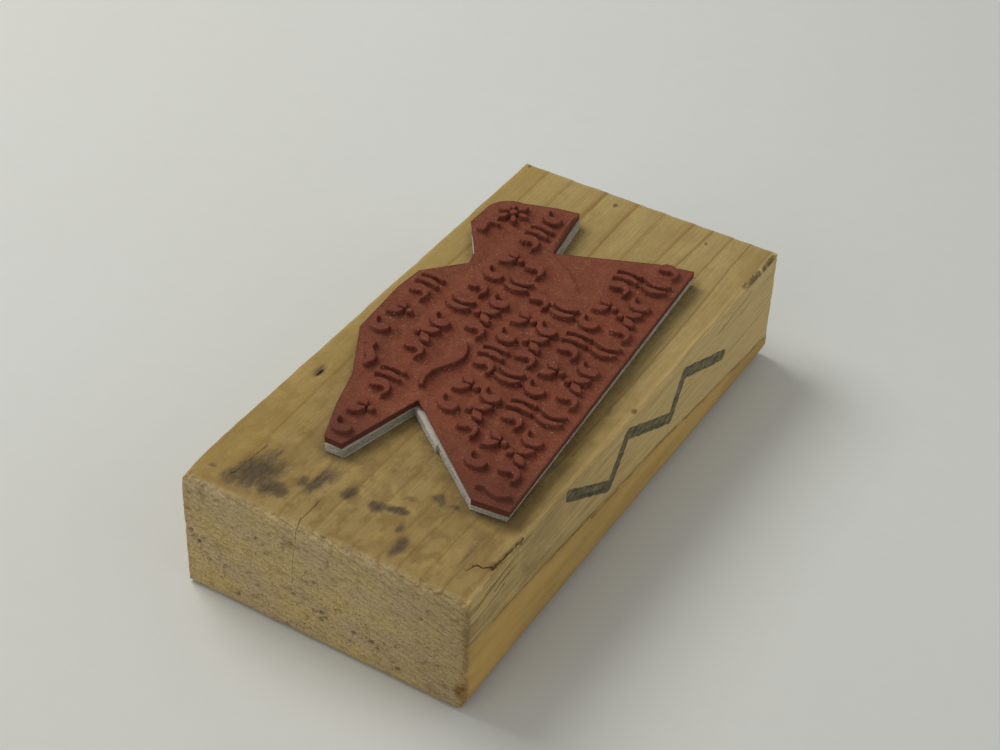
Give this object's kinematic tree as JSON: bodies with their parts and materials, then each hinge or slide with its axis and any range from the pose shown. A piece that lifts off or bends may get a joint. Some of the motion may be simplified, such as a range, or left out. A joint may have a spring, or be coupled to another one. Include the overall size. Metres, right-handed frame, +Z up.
{
  "type": "wood-mounted rubber stamp",
  "caption": "Wooden block with a foam-cushioned rubber die glued on top, shaped by hand into a silhouette with raised ornament, for inking and printing on paper.",
  "frame": {"origin": "centre of the block's underside, in the plane of the surface it stands on", "axes": "+Z up, from the block's underside towards the printing face; +Y along the wood grain and the block's length, from the end by the die's two legs to the end by its tab; +X across the block"},
  "size_m": [0.0426, 0.0844, 0.0222],
  "materials": {
    "pine": "planed and sawn pine, bare, aged and stained",
    "adhesive": "thin translucent adhesive film",
    "foam": "pale grey closed-cell foam with a cut edge",
    "red_rubber": "moulded brick-red rubber, matte, with ink residue on the relief"
  },
  "bodies": {
    "root": {"wood_block": "pine", "block_film": "adhesive", "foam_cushion": "foam", "die_film": "adhesive", "rubber_die": "red_rubber"}
  },
  "joints": []
}
